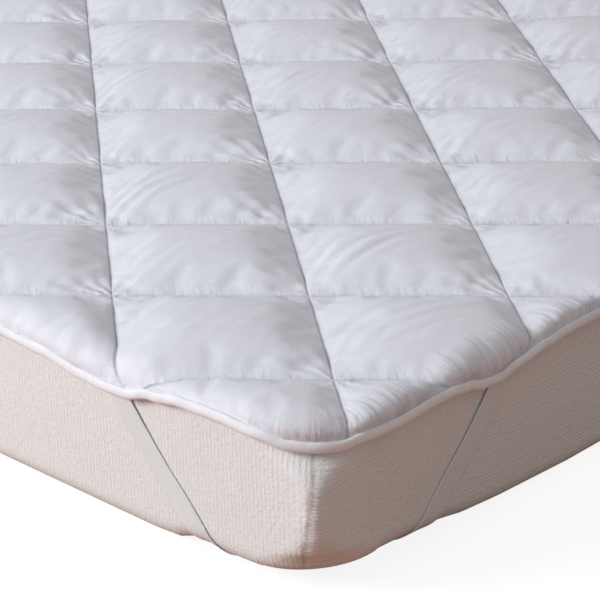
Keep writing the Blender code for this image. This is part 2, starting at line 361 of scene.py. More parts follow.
def hem_fade(beyond):
    """How full the filling is, which thins out to nothing at the binding."""
    share = np.clip((beyond - PUFF_FULL_AT) / (OVERHANG - LIP - PUFF_FULL_AT), 0, 1)
    return (1 - share * share) ** PUFF_FADE_POWER


def quilted_faces(i, j, cells, kept=None):
    """Quads of the grid, with the ones that a seam crosses cut along it."""
    rows, columns = i.shape
    kept = np.ones((rows - 1) * (columns - 1), bool) if kept is None else kept
    quads = grid_faces(rows, columns)[kept]
    ii = i[:-1, :-1].ravel()[kept]
    jj = j[:-1, :-1].ravel()[kept]
    forward = (ii - jj) % cells == 0
    backward = ((ii + jj + 1) % cells == 0) & ~forward
    faces = quads[~(forward | backward)].tolist()
    for crossed, halves in ((forward, ((0, 1, 2), (0, 2, 3))), (backward, ((0, 1, 3), (1, 2, 3)))):
        for half in halves:
            faces += quads[crossed][:, half].tolist()
    return faces


def simulated_quilt(cells):
    """Cloth simulation of the top cloth, sewn down on the seams and the hem, over its filling."""
    i, j, x, y = lattice_grid(cells)
    beyond = feet(np.column_stack([x.ravel(), y.ravel()]))[2].reshape(x.shape)
    dome = puff_dome(i, j, cells) * hem_fade(beyond)
    start = PUFF * dome
    rough = value_noise(i * 0.91 + 0.3, j * 0.87 + 0.6, SEED_CLOTH)
    start += START_ROUGHNESS * rough * (dome > 0)
    rows, columns = x.shape
    points = np.stack([x, y, start], -1).reshape(-1, 3)
    mesh = bpy.data.meshes.new("quilt_cloth")
    mesh.from_pydata(points.tolist(), [], quilted_faces(i, j, cells))
    cloth = bpy.data.objects.new("quilt_cloth", mesh)
    bpy.context.scene.collection.objects.link(cloth)
    sewn = ((i - j) % cells == 0) | ((i + j) % cells == 0) | (beyond >= OVERHANG - LIP)
    group = cloth.vertex_groups.new(name="sewn")
    group.add(np.flatnonzero(sewn.ravel()).tolist(), 1.0, "REPLACE")
    modifier = cloth.modifiers.new("cloth", "CLOTH")
    settings = modifier.settings
    settings.quality = 5
    settings.mass = 0.15
    settings.tension_stiffness = 15
    settings.compression_stiffness = 15
    settings.shear_stiffness = 5
    settings.bending_stiffness = 1.5
    settings.air_damping = 2
    settings.use_pressure = True
    settings.uniform_pressure_force = PRESSURE
    settings.vertex_group_mass = "sewn"
    settings.shrink_min = -SPARE_CLOTH
    settings.shrink_max = -SPARE_CLOTH
    settings.effector_weights.gravity = 0
    modifier.collision_settings.use_collision = False
    scene = bpy.context.scene
    for step in range(1, SIM_FRAMES + 1):
        scene.frame_set(step)
    graph = bpy.context.evaluated_depsgraph_get()
    result = cloth.evaluated_get(graph).to_mesh()
    moved = np.empty(len(result.vertices) * 3, np.float32)
    result.vertices.foreach_get("co", moved)
    scene.frame_set(1)
    bpy.data.objects.remove(cloth, do_unlink=True)
    shift = moved.reshape(-1, 3).astype(np.float64) - points
    length = np.linalg.norm(shift, axis=1, keepdims=True)
    shift *= np.minimum(1.0, SIM_CAP / np.maximum(length, 1e-9))
    return i, j, x, y, (points + shift).reshape(rows, columns, 3)


# Folds in every diamond, whose left and lower seams are at 0 and right and upper ones at 1:
# each radiates from or curves round a point, between two distances from it
FOLD_HEIGHT = 0.0017
FOLDS = (
    # centre across, centre up, turns, rings, start, full from, full to, end, share
    (1.15, -0.45, 0.0, 62.0, 0.95, 1.20, 1.35, 1.60, 0.8),
    (1.04, -0.04, 15.0, 4.0, 0.06, 0.14, 0.16, 0.55, 1.0),
    (-0.04, 1.04, 12.0, 4.0, 0.06, 0.14, 0.16, 0.40, 0.7),
    (-0.04, -0.04, 12.0, 4.0, 0.06, 0.14, 0.16, 0.40, 0.7),
    (1.04, 1.04, 12.0, 4.0, 0.06, 0.14, 0.16, 0.35, 0.5),
)
# Gathers at the hem: weaker on the long sides than on the short ones
GATHER_HEIGHT = 0.0014
GATHER_PITCH = 0.011
GATHER_LENGTH = 0.09
GATHER_FROM = -0.006
GATHER_FULL = 0.024
LONG_SIDE_GATHER = 0.35
# How wide the band is where the cloth settles into the binding
SETTLE_BAND = 0.004


def folded(i, j, cells):
    """Height of the drag lines and of the puckers at the seam crossings."""
    a, b, cell_a, cell_b, across, up = diamonds(i, j, cells)
    lot = each_diamond(cell_a, cell_b, SEED_FOLD_START)
    stray = value_noise(a * 2.6 + 0.2, b * 2.6 + 0.7, SEED_FOLD_STRAY)
    total = np.zeros(a.shape)
    for number, row in enumerate(FOLDS):
        centre_u, centre_w, turns, rings, start, full_from, full_to, end, share = row
        du = across - centre_u
        dw = up - centre_w
        far = np.hypot(du, dw)
        phase = far * rings + turns * np.arctan2(dw, du) + 2.2 * stray + 3.0 * lot
        weight = smooth(start, full_from, far) * smooth(end, full_to, far)
        patch = value_noise(a * 2.1 + 3.3 * number, b * 2.1 + 1.9 * number, 8)
        total += share * np.sin(phase) * weight * smooth(-0.5, 0.5, patch)
    nearest = np.minimum(np.minimum(across, 1 - across), np.minimum(up, 1 - up))
    return total * smooth(0.0, 0.07, nearest)


def cut_to_hem(x, y):
    """A grid's flat points, the ones beyond the hem pulled in to it, and which cells are kept."""
    flat = np.column_stack([x.ravel(), y.ravel()])
    foot, normal, beyond = feet(flat)
    pulled = np.where((beyond > OVERHANG)[:, None], foot + normal * OVERHANG, flat)
    inside = (beyond < OVERHANG).reshape(x.shape)
    kept = inside[:-1, :-1] | inside[1:, :-1] | inside[1:, 1:] | inside[:-1, 1:]
    return flat, pulled, kept.ravel(), foot, normal, beyond


def top_cloth():
    """The quilted side of the pad: (points, faces, UV layers)."""
    i, j, x, y, moved = simulated_quilt(CELLS)
    flat, pulled, kept, foot, normal, beyond = cut_to_hem(x, y)
    shift = moved[..., :2].reshape(-1, 2) - flat
    above = moved[..., 2].reshape(-1)
    free = smooth(OVERHANG - LIP, OVERHANG - LIP - SETTLE_BAND, beyond)
    above = above + FOLD_HEIGHT * folded(i, j, CELLS).reshape(-1)
    along = from_corner(foot, normal)
    gather = value_noise(along / GATHER_PITCH, beyond / GATHER_LENGTH, SEED_GATHER)
    side = LONG_SIDE_GATHER + (1 - LONG_SIDE_GATHER) * smooth(-0.01, 0.03, along)
    above = above + GATHER_HEIGHT * gather * smooth(GATHER_FROM, GATHER_FULL, beyond) * side
    draped = drape(pulled + shift * free[:, None], HALF_CLOTH + above * free)
    made = quilted_faces(i, j, CELLS, kept)
    used = np.unique(np.concatenate([np.ravel(face) for face in made]))
    number = np.full(len(flat), -1)
    number[used] = np.arange(len(used))
    faces = [[int(number[c]) for c in face] for face in made]
    lattice = np.column_stack([(i - j).ravel(), (i + j).ravel()])[used] / CELLS
    hem = np.column_stack([along, beyond])[used]
    return draped[used], faces, {"metres": flat[used], "lattice": lattice, "hem": hem}


def quilted_pad(cloth):
    """The filled quilt: the simulated top cloth and a plain underside."""
    points, faces, uvs = top_cloth()
    x, y = lattice_grid(CELLS)[2:]
    x = x[::UNDER_STRIDE, ::UNDER_STRIDE]
    y = y[::UNDER_STRIDE, ::UNDER_STRIDE]
    under, kept = cut_to_hem(x, y)[1:3]
    quads = grid_faces(*x.shape)[kept][:, ::-1]
    faces += (quads + len(points)).tolist()
    points = np.vstack([points, drape(under, np.full(len(under), -HALF_CLOTH))])
    plain = {
        "metres": under,
        "lattice": np.full((len(under), 2), 0.5),
        "hem": np.full((len(under), 2), -1.0),
    }
    uvs = {layer: np.vstack([values, plain[layer]]) for layer, values in uvs.items()}
    pad = add_piece("pad", points, faces, uvs, [cloth])
    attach(pad, "root")
    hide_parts("quilted_pad")


# ---------------------------------------------------------------- binding

BINDING_STEP = 0.005
# Its slow swell and its seam's small gathers: pitches in metres, sizes as shares of the section
SWELL_PITCH = 0.055
SWELL = 0.07
SWELL_BELOW = 0.10
BINDING_GATHER_PITCH = 0.011
BINDING_GATHER_ACROSS = 0.012
BINDING_GATHER = 0.05
SEAM_GATHER = 0.09
# Section of the folded strip: out from the topper's edge, and down below it
BINDING_SECTION = (
    (0.0023, -0.0076),
    (0.0034, -0.0094),
    (0.0052, -0.0092),
    (0.0066, -0.0070),
    (0.0073, -0.0036),
    (0.0071, 0.0000),
    (0.0057, 0.0028),
    (0.0032, 0.0045),
    (0.0002, 0.0049),
    (-0.0024, 0.0040),
    (-0.0040, 0.0016),
    (-0.0043, -0.0020),
    (-0.0038, -0.0056),
    (-0.0024, -0.0062),
    (-0.0022, 0.0002),
    (0.0022, 0.0002),
)


def perimeter(half_x, half_y, radius, step, corner_step=None):
    """Stations round a rectangle with round corners: (foot, normal, distance gone, whole way)."""
    spots = []
    normals = []
    gone = []
    total = 0.0
    for corner, (sx, sy) in enumerate(((1, 1), (-1, 1), (-1, -1), (1, -1))):
        centre = np.array([sx * (half_x - radius), sy * (half_y - radius)])
        arc = radius * math.pi / 2
        count = max(int(round(arc / (corner_step or step))), 8)
        for place in range(count):
            turn = math.pi / 2 * (corner + place / count)
            normal = np.array([math.cos(turn), math.sin(turn)])
            spots.append(centre + normal * radius)
            normals.append(normal)
            gone.append(total + arc * place / count)
        total += arc
        turn = math.pi / 2 * (corner + 1)
        normal = np.array([math.cos(turn), math.sin(turn)])
        start = centre + normal * radius
        along = np.array([-normal[1], normal[0]])
        length = 2 * ((half_x if corner % 2 == 0 else half_y) - radius)
        count = int(round(length / step))
        for place in range(count):
            spots.append(start + along * length * place / count)
            normals.append(normal)
            gone.append(total + length * place / count)
        total += length
    return np.array(spots), np.array(normals), np.array(gone), total


def binding(cloth):
    """The bias strip folded over the topper's cut edge, with the small gathers of its seam."""
    foot, normal, gone, _ = perimeter(
        BED_X / 2 - BEND_INSET, BED_Y / 2 - BEND_INSET, CORNER_RADIUS - BEND_INSET, BINDING_STEP
    )
    drop = MIDDLE_Z - BINDING_BELOW - hem_height(from_corner(foot, normal))
    section = np.array(BINDING_SECTION)
    count = len(section)
    stations = len(foot)
    out = np.tile(section[:, 0], (stations, 1))
    down = np.tile(section[:, 1], (stations, 1))
    swell = value_noise(gone[:, None] / SWELL_PITCH, np.zeros((stations, 1)), SEED_BINDING_SWELL)
    gather = value_noise(gone[:, None] / BINDING_GATHER_PITCH,
                         section[None, :, 1] / BINDING_GATHER_ACROSS, SEED_BINDING_GATHER)
    near_seam = smooth(0.002, -0.006, section[:, 1])[None, :]
    puff = 1 + SWELL * swell + gather * (BINDING_GATHER + SEAM_GATHER * near_seam)
    outer = (section[:, 0] > 0.0023) | (section[:, 1] > 0.001)
    out = np.where(outer[None, :], out * puff, out)
    down = np.where(outer[None, :] & (down > 0), down * (1 + SWELL_BELOW * swell), down)
    reach = BEND_INSET + HEM_OUT + out
    plan = foot[:, None, :] + normal[:, None, :] * reach[..., None]
    height = MIDDLE_Z - drop[:, None] - down
    points = np.concatenate([plan, height[..., None]], axis=-1).reshape(-1, 3)
    metres = pairs(gone, lengths(section))
    faces = grid_faces(stations, count, True, True)
    piece = add_piece("binding_strip", points, faces, {"metres": metres}, [cloth])
    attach(piece, "root")
    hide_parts("binding")


# ---------------------------------------------------------------- straps

STRAP_SAMPLES = 12
STRAP_FLATTENED = 0.85
# Section of the woven band as shares of its half width and half thickness
STRAP_SECTION = (
    (-1.00, 0.0),
    (-0.975, 1.0),
    (-0.90, 1.15),
    (-0.50, 1.0),
    (0.0, 0.95),
    (0.50, 1.0),
    (0.90, 1.15),
    (0.975, 1.0),
    (1.00, 0.0),
    (0.975, -1.0),
    (0.0, -1.0),
    (-0.975, -1.0),
)


def smooth_path(rows, samples):
    """Catmull-Rom curve through the rows."""
    rows = np.asarray(rows, float)
    padded = np.vstack([2 * rows[0] - rows[1], rows, 2 * rows[-1] - rows[-2]])
    made = []
    for place in range(len(rows) - 1):
        a, b, c, d = padded[place:place + 4]
        for step in range(samples):
            t = step / samples
            made.append(0.5 * (2 * b + (c - a) * t + (2 * a - 5 * b + 4 * c - d) * t * t
                               + (3 * b - a - 3 * c + d) * t ** 3))
    made.append(rows[-1])
    return np.array(made)


def against_mattress(side, along, down, above):
    """A point off the mattress's cover. side is -1 on a long side and 1 on a short one."""
    face = MATTRESS_TOP - BOTTOM_EDGE_RADIUS
    turn = np.clip((down - face) / BOTTOM_EDGE_RADIUS, 0.0, math.pi / 2)
    under = np.maximum(down - face - BOTTOM_EDGE_RADIUS * math.pi / 2, 0.0)
    height = np.where(down < face, MATTRESS_TOP - down,
                      BOTTOM_EDGE_RADIUS * (1 - np.sin(turn)))
    place = along - CORNER_RADIUS * (1 - math.pi / 4)
    lift = np.interp(side * place, LIFT_ALONG, LIFT)
    lift = lift + (STRAP_UNDER_LIFT - lift) * smooth(0.0, 0.050, under)
    depth = BOTTOM_EDGE_RADIUS * (1 - np.cos(turn)) + under - above * np.cos(turn)
    return depth, height + lift * smooth(LIFT_HEIGHT, 0.0, height) - above * np.sin(turn)


def strap_band():
    """One strap's sections, from behind the binding on a long side to behind it on a short one."""
    route = smooth_path(STRAP, STRAP_SAMPLES)
    # Under the corner the strap runs straight to the diagonal, where it is as far in as along
    last_along, last_down, off = STRAP[-1]
    to_underside = MATTRESS_TOP - BOTTOM_EDGE_RADIUS * (2 - math.pi / 2)
    middle = (last_along + last_down - to_underside) / 2
    end = np.array([middle, middle + to_underside, off])
    more = np.linspace(0, 1, STRAP_SAMPLES)[1:, None]
    route = np.vstack([route, route[-1] + (end - route[-1]) * more])
    run = np.gradient(route[:, :2], axis=0)
    run[-1] = (-1.0, 1.0)
    run /= np.linalg.norm(run, axis=1, keepdims=True)
    section = np.array(STRAP_SECTION)
    wide = section[:, 0] * STRAP_WIDTH / 2
    deep = section[:, 1] * STRAP_THICK / 2 * STRAP_FLATTENED
    along = route[:, 0:1] + run[:, 1:2] * wide[None, :]
    down = route[:, 1:2] - run[:, 0:1] * wide[None, :]
    above = route[:, 2:3] + deep[None, :]
    halves = []
    for side in (-1, 1):
        depth, height = against_mattress(side, along, down, above)
        if side < 0:
            halves.append(np.stack([depth, along, height], axis=-1))
        else:
            halves.append(np.stack([along, depth, height], axis=-1)[::-1][1:])
    return np.concatenate(halves), wide


def straps(cloth):
    """The four straps, which are one band turned and mirrored to each corner."""
    band, wide = strap_band()
    stations, count = band.shape[:2]
    gone = lengths(band.mean(axis=1))
    for name, sign_x, sign_y in CORNERS:
        points = band.reshape(-1, 3)
        placed = np.column_stack([
            sign_x * (BED_X / 2 - points[:, 0]),
            sign_y * (BED_Y / 2 - points[:, 1]),
            points[:, 2],
        ])
        faces = grid_faces(stations, count, False, True).tolist()
        faces.append(list(range(count)))
        faces.append(list(range(len(placed) - 1, len(placed) - count - 1, -1)))
        faces = [face if sign_x * sign_y > 0 else face[::-1] for face in faces]
        piece = add_piece("elastic_" + name, placed, faces, {"metres": pairs(gone, wide)}, [cloth])
        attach(piece, "root")
        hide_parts("strap_" + name)


# ---------------------------------------------------------------- mattress

MATTRESS_STEP = 0.006
MATTRESS_CORNER_STEP = 0.0025
WIDEST_CORNER = 0.105
# Round corner's radius at each height, tightest where the foam stands straight
CORNER_HEIGHTS = (0.000, 0.025, 0.045, 0.070, 0.105, 0.140, 0.158, 0.173, 0.199)
CORNER_RADII = (0.105, 0.088, 0.046, 0.024, 0.016, 0.018, 0.044, 0.088, 0.095)
# Where the cover's corner seam runs, round the corner from its middle
SEAM_HEIGHTS = (0.000, 0.049, 0.075, 0.101, 0.124, 0.147, 0.174, 0.199)
SEAM_ALONG = (-0.0150, -0.0105, -0.0078, -0.0055, -0.0032, -0.0018, 0.0000, 0.0010)
# How far the straps pull the underside up, by the distance from the middle of the corner
LIFT_ALONG = (-0.240, -0.205, -0.180, -0.150, -0.125, -0.085, 0.000, 0.045, 0.085, 0.150, 0.190,
              0.230, 0.290, 0.420)
LIFT = (0.0, 0.0025, 0.0120, 0.0150, 0.0105, 0.0125, 0.0190, 0.0215, 0.0245, 0.0215, 0.0180,
        0.0105, 0.0055, 0.0)
STRAP_UNDER_LIFT = 0.0110
LIFT_HEIGHT = 0.150
# Insets of the underside's inner rows, and the rows of the rest of the profile
UNDERSIDE = (0.045, 0.070, 0.098)
ARC_ROWS = 6
SIDE_ROWS = 24
# The cover's slow unevenness: (height, pitch along, pitch up, seed)
UNEVEN = (
    (0.0005, 0.16, 0.11, SEED_COVER_SOFT),
    (0.0003, 0.045, 0.06, SEED_COVER_FINE),
)
COVER_INSET = 0.0004
SEAM_DEPTH = 0.0010
SEAM_WIDTH = 0.0035
PUCKER_DEPTH = 0.0008
PUCKER_REACH = 0.010
PUCKER_PITCH = 0.010
PUCKER_LENGTH = 0.03


def corner_bulge(normal, radius):
    """How far a corner of a tighter radius stands out beyond the widest one, along its normal."""
    across = np.abs(normal[:, 0])[:, None]
    along = np.abs(normal[:, 1])[:, None]
    most = np.maximum(across, along)
    least = np.minimum(across, along)
    straight = WIDEST_CORNER / most
    centre = WIDEST_CORNER - radius
    toward = (across + along) * centre
    arc = toward + np.sqrt(np.maximum(toward ** 2 - 2 * centre ** 2 + radius ** 2, 0.0))
    reach = np.where(straight * least <= centre, straight, arc)
    return reach - WIDEST_CORNER


def mattress_profile():
    """(inset, height) of each row, from the underside's inner edge up to the top's."""
    profile = [(inset, 0.0) for inset in reversed(UNDERSIDE)]
    turns = [math.pi / 2 * step / ARC_ROWS for step in range(ARC_ROWS + 1)]
    for turn in turns:
        profile.append((BOTTOM_EDGE_RADIUS * (1 - math.sin(turn)),
                        BOTTOM_EDGE_RADIUS * (1 - math.cos(turn))))
    low = BOTTOM_EDGE_RADIUS
    high = MATTRESS_TOP - TOP_EDGE_RADIUS
    profile.extend((0.0, low + (high - low) * step / SIDE_ROWS) for step in range(1, SIDE_ROWS))
    for turn in turns:
        profile.append((TOP_EDGE_RADIUS * (1 - math.cos(turn)),
                        MATTRESS_TOP - TOP_EDGE_RADIUS * (1 - math.sin(turn))))
    return np.array(profile)


def close_round(uv, wrapped, total):
    """Carries the first station's distance on past the last one's in the quads that join them."""
    values = np.empty(len(uv.data) * 2, np.float32)
    uv.data.foreach_get("uv", values)
    values = values.reshape(-1, 2)
    values[wrapped & (values[:, 0] < total / 2), 0] += total
    uv.data.foreach_set("uv", values.ravel())


def mattress(long_cloth, short_cloth):
    """The foam block in its knitted cover, pressed in where the straps cross its lower edge."""
    profile = mattress_profile()
    foot, normal, gone, total = perimeter(
        BED_X / 2, BED_Y / 2, WIDEST_CORNER, MATTRESS_STEP, MATTRESS_CORNER_STEP
    )
    along = from_corner(foot, normal)
    stations = len(foot)
    rows = len(profile)
    inset = np.tile(profile[:, 0], (stations, 1))
    height = np.tile(profile[:, 1], (stations, 1))
    inset = inset - corner_bulge(normal, np.interp(profile[:, 1], CORNER_HEIGHTS, CORNER_RADII))
    face = np.sin(np.pi * np.clip(height / MATTRESS_TOP, 0, 1))
    face = face * (inset < UNDERSIDE[0])
    uneven = sum(
        size * value_noise(gone[:, None] / pitch, height / rise, seed)
        for size, pitch, rise, seed in UNEVEN
    )
    inset = inset - face * uneven + COVER_INSET

    turn = np.arctan2(np.abs(normal[:, 1]), np.abs(normal[:, 0])) - math.pi / 4
    around = np.where(np.abs(turn) < math.pi / 4 - 1e-6, turn * WIDEST_CORNER, along)
    seam_at = np.interp(profile[:, 1], SEAM_HEIGHTS, SEAM_ALONG)
    from_seam = around[:, None] - seam_at[None, :]
    seam = SEAM_DEPTH * np.exp(-(from_seam / SEAM_WIDTH) ** 2)
    pucker = value_noise(height / PUCKER_PITCH + 0.3, gone[:, None] / PUCKER_LENGTH,
                         SEED_COVER_PUCKER)
    near = PUCKER_DEPTH * np.exp(-(from_seam / PUCKER_REACH) ** 2)
    inset = inset + face * (seam + near * pucker)

    lift = np.interp(along, LIFT_ALONG, LIFT)[:, None]
    height = height + lift * smooth(LIFT_HEIGHT, 0.0, height)
    plan = foot[:, None, :] - normal[:, None, :] * inset[..., None]
    points = np.concatenate([plan, height[..., None]], axis=-1).reshape(-1, 3)
    faces = grid_faces(stations, rows, True, False).tolist()
    bottom = [place * rows for place in range(stations)]
    top = [place * rows + rows - 1 for place in range(stations)]
    uvs = {
        "metres": pairs(gone, lengths(profile)),
        "seam": np.stack([from_seam, height], -1).reshape(-1, 2),
    }
    piece = add_piece("mattress_cover", points, faces + [bottom[::-1], top], uvs,
                      [long_cloth, short_cloth])
    mesh = piece.data
    corner = np.arange(len(mesh.loops))
    wrapped = (corner // 4 >= (stations - 1) * (rows - 1)) & (corner < len(faces) * 4)
    close_round(mesh.uv_layers["metres"], wrapped, total)
    # The short sides' ribs lie level, and both flat ends take the long sides' cloth
    which = (from_seam[:, :-1] > 0).ravel()
    mesh.polygons.foreach_set("material_index", np.append(which, [0, 0]).astype(np.int32))
    mesh.polygons.foreach_set("use_smooth", np.append(np.ones(len(faces), bool), [False, False]))
    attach(piece, "root")
    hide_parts("mattress")


# ---------------------------------------------------------------- materials

# Linear colours. Each cloth varies between two. On the knit, the binding and the straps the lower
# one marks the hollows of the relief as painted shade, and the colours for seams and creases are
# painted shade
PAD_LOW = (0.865, 0.882, 0.960)
PAD_HIGH = (0.905, 0.922, 0.990)
# painted shade laid into the quilt's seam valleys and the creases of its hem gathers
PAD_PAINTED_SHADE = (0.56, 0.55, 0.60)
BINDING_LOW = (0.845, 0.885, 0.945)
BINDING_HIGH = (0.910, 0.945, 0.990)
STRAP_LOW = (0.860, 0.905, 0.920)
STRAP_HIGH = (0.915, 0.955, 0.970)
KNIT_LOW = (0.737, 0.748, 0.740)
KNIT_HIGH = (0.842, 0.864, 0.864)
# painted shade for the groove of the cover's corner seam
KNIT_SEAM_SHADE = (0.40, 0.35, 0.32)
CLOTH_SPECULAR = 0.25
CLOTH_SHEEN_ROUGHNESS = 0.5
# Wave scales of the threads and ribs
PAD_THREADS = 1100.0
BINDING_THREADS = 1000.0
STRAP_RIBS = 330.0
STRAP_WEFTS = 420.0
STITCHES = 330.0
STITCH_ROW = 0.0036
LONG_RIBS = 55.0
SHORT_RIBS = 63.0


class Nodes:
    """Short forms for building a material's nodes."""

    def __init__(self, name):
        self.material = bpy.data.materials.new(name)
        self.material.use_nodes = True
        self.tree = self.material.node_tree
        self.shader = self.tree.nodes["Principled BSDF"]

    def add(self, kind, **values):
        node = self.tree.nodes.new(kind)
        for key, value in values.items():
            setattr(node, key, value)
        return node

    def link(self, source, target):
        self.tree.links.new(source, target)

    def put(self, socket, value):
        if isinstance(value, bpy.types.NodeSocket):
            self.link(value, socket)
        else:
            socket.default_value = value

    def math(self, operation, first, second=0.0, third=0.0):
        node = self.add("ShaderNodeMath", operation=operation)
        for socket, value in zip(node.inputs, (first, second, third)):
            self.put(socket, value)
        return node.outputs[0]

    def uv(self, layer, scale=(1.0, 1.0), turn=0.0):
        node = self.add("ShaderNodeUVMap", uv_map=layer)
        mapping = self.add("ShaderNodeMapping")
        self.link(node.outputs[0], mapping.inputs["Vector"])
        mapping.inputs["Scale"].default_value = (scale[0], scale[1], 1.0)
        mapping.inputs["Rotation"].default_value = (0.0, 0.0, turn)
        return mapping.outputs[0]

    def noise(self, vector, scale, detail=2.0, roughness=0.5, distortion=0.0):
        node = self.add("ShaderNodeTexNoise")
        self.link(vector, node.inputs["Vector"])
        node.inputs["Scale"].default_value = scale
        node.inputs["Detail"].default_value = detail
        node.inputs["Roughness"].default_value = roughness
        node.inputs["Distortion"].default_value = distortion
        return node.outputs[0]

    def wave(self, vector, scale, distortion=0.0, detail=0.0, detail_scale=1.0, direction="X"):
        node = self.add("ShaderNodeTexWave", wave_type="BANDS", bands_direction=direction)
        self.link(vector, node.inputs["Vector"])
        node.inputs["Scale"].default_value = scale
        node.inputs["Distortion"].default_value = distortion
        node.inputs["Detail"].default_value = detail
        node.inputs["Detail Scale"].default_value = detail_scale
        return node.outputs["Fac"]

    def split(self, vector):
        node = self.add("ShaderNodeSeparateXYZ")
        self.link(vector, node.inputs[0])
        return node.outputs[0], node.outputs[1]

    def ramp(self, value, low, high, low_to=0.0, high_to=1.0):
        node = self.add("ShaderNodeMapRange")
        self.put(node.inputs[0], value)
        for place, number in enumerate((low, high, low_to, high_to)):
            node.inputs[place + 1].default_value = number
        return node.outputs[0]

    def mix(self, share, first, second):
        node = self.add("ShaderNodeMix", data_type="RGBA")
        self.put(node.inputs[0], share)
        for socket, colour in ((node.inputs[6], first), (node.inputs[7], second)):
            if isinstance(colour, bpy.types.NodeSocket):
                self.link(colour, socket)
            else:
                socket.default_value = (*colour, 1.0)
        return node.outputs[2]

    def bump(self, height, distance, strength=1.0, over=None):
        node = self.add("ShaderNodeBump")
        self.link(height, node.inputs["Height"])
        node.inputs["Distance"].default_value = distance
        node.inputs["Strength"].default_value = strength
        if over is not None:
            self.link(over, node.inputs["Normal"])
        return node.outputs[0]

    def finish(self, colour, roughness, normal, sheen=0.0):
        self.put(self.shader.inputs["Base Color"], colour)
        self.shader.inputs["Roughness"].default_value = roughness
        self.shader.inputs["Specular IOR Level"].default_value = CLOTH_SPECULAR
        self.shader.inputs["Sheen Weight"].default_value = sheen
        self.shader.inputs["Sheen Roughness"].default_value = CLOTH_SHEEN_ROUGHNESS
        self.link(normal, self.shader.inputs["Normal"])
        return self.material


